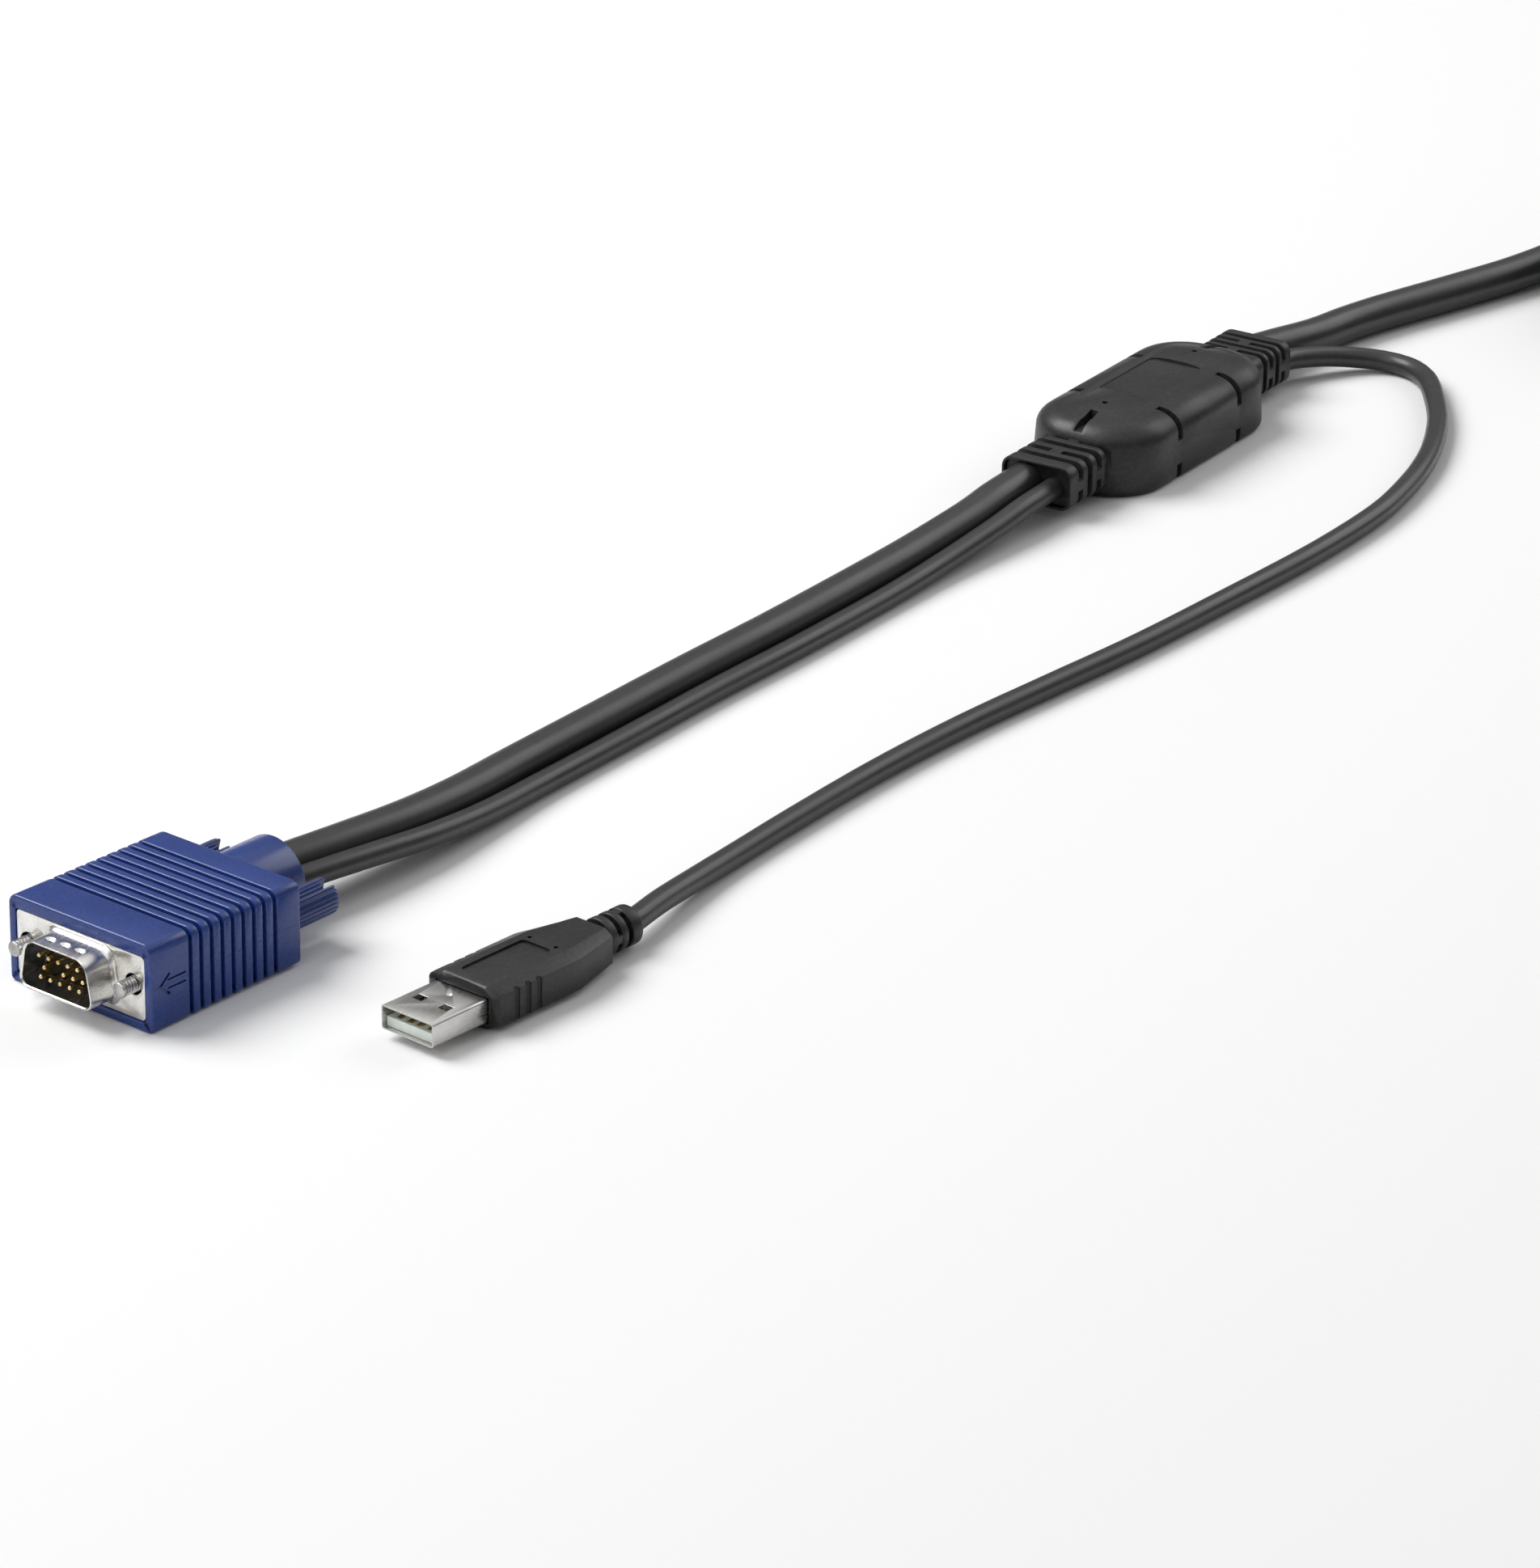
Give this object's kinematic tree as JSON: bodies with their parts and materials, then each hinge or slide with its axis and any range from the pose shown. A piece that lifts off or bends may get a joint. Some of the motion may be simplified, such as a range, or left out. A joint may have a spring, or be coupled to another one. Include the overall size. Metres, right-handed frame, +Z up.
{
  "type": "kvm cable",
  "caption": "Video and USB cable for a keyboard, video and mouse switch: a blue 15-pin video plug and a black USB plug joined by a moulded junction box to one long thick cord.",
  "frame": {"origin": "on the surface the cable lies on, under the middle of the junction box", "axes": "+X along the junction box from the plugs to the far end, +Y to the left of that, +Z up"},
  "size_m": [0.5497, 0.1745, 0.0185],
  "materials": {
    "blue_plastic": "fine grain",
    "black_plastic": "fine grain",
    "dark_insulator": "satin",
    "tongue_plastic": "satin",
    "cord_jacket": "satin",
    "nickel": "plated",
    "steel": "turned",
    "gold": "plated"
  },
  "bodies": {
    "cable": {"vga_hood": "blue_plastic", "vga_front_shell": "nickel", "vga_insulator": "dark_insulator", "vga_pin_01": "gold", "vga_pin_02": "gold", "vga_pin_03": "gold", "vga_pin_04": "gold", "vga_pin_05": "gold", "vga_pin_06": "gold", "vga_pin_07": "gold", "vga_pin_08": "gold", "vga_pin_10": "gold", "vga_pin_11": "gold", "vga_pin_12": "gold", "vga_pin_13": "gold", "vga_pin_14": "gold", "vga_pin_15": "gold", "usb_grip": "black_plastic", "usb_shell": "nickel", "usb_tongue": "tongue_plastic", "usb_contact_1": "gold", "usb_contact_2": "gold", "usb_contact_3": "gold", "usb_contact_4": "gold", "junction_box": "black_plastic", "vga_cord": "cord_jacket", "link_cord": "cord_jacket", "usb_cord": "cord_jacket", "main_cord": "cord_jacket", "main_cord_coil": "cord_jacket", "main_cord_tail": "cord_jacket", "coil_tie": "black_plastic", "far_hood": "blue_plastic", "far_front_shell": "nickel", "far_insulator": "dark_insulator", "far_pin_01": "gold", "far_pin_02": "gold", "far_pin_03": "gold", "far_pin_04": "gold", "far_pin_05": "gold", "far_pin_06": "gold", "far_pin_07": "gold", "far_pin_08": "gold", "far_pin_10": "gold", "far_pin_11": "gold", "far_pin_12": "gold", "far_pin_13": "gold", "far_pin_14": "gold", "far_pin_15": "gold"},
    "vga_thumbscrew_left": {"vga_screw_left": "steel", "vga_knob_left": "blue_plastic"},
    "vga_thumbscrew_right": {"vga_screw_right": "steel", "vga_knob_right": "blue_plastic"},
    "far_thumbscrew_left": {"far_screw_left": "steel", "far_knob_left": "blue_plastic"},
    "far_thumbscrew_right": {"far_screw_right": "steel", "far_knob_right": "blue_plastic"}
  },
  "joints": [
    {"name": "vga_thumbscrew_left_turn", "type": "hinge", "parent": "cable", "child": "vga_thumbscrew_left", "pos_m": [-0.33092, 0.02891, 0.0082], "axis": [0.993, -0.1184, 0], "continuous": true},
    {"name": "vga_thumbscrew_right_turn", "type": "hinge", "parent": "cable", "child": "vga_thumbscrew_right", "pos_m": [-0.33388, 0.00409, 0.0082], "axis": [0.993, -0.1184, 0], "continuous": true},
    {"name": "far_thumbscrew_left_turn", "type": "hinge", "parent": "cable", "child": "far_thumbscrew_left", "pos_m": [0.06, -0.1119, 0.0082], "axis": [1, 0, 0], "continuous": true},
    {"name": "far_thumbscrew_right_turn", "type": "hinge", "parent": "cable", "child": "far_thumbscrew_right", "pos_m": [0.06, -0.1369, 0.0082], "axis": [1, 0, 0], "continuous": true}
  ]
}
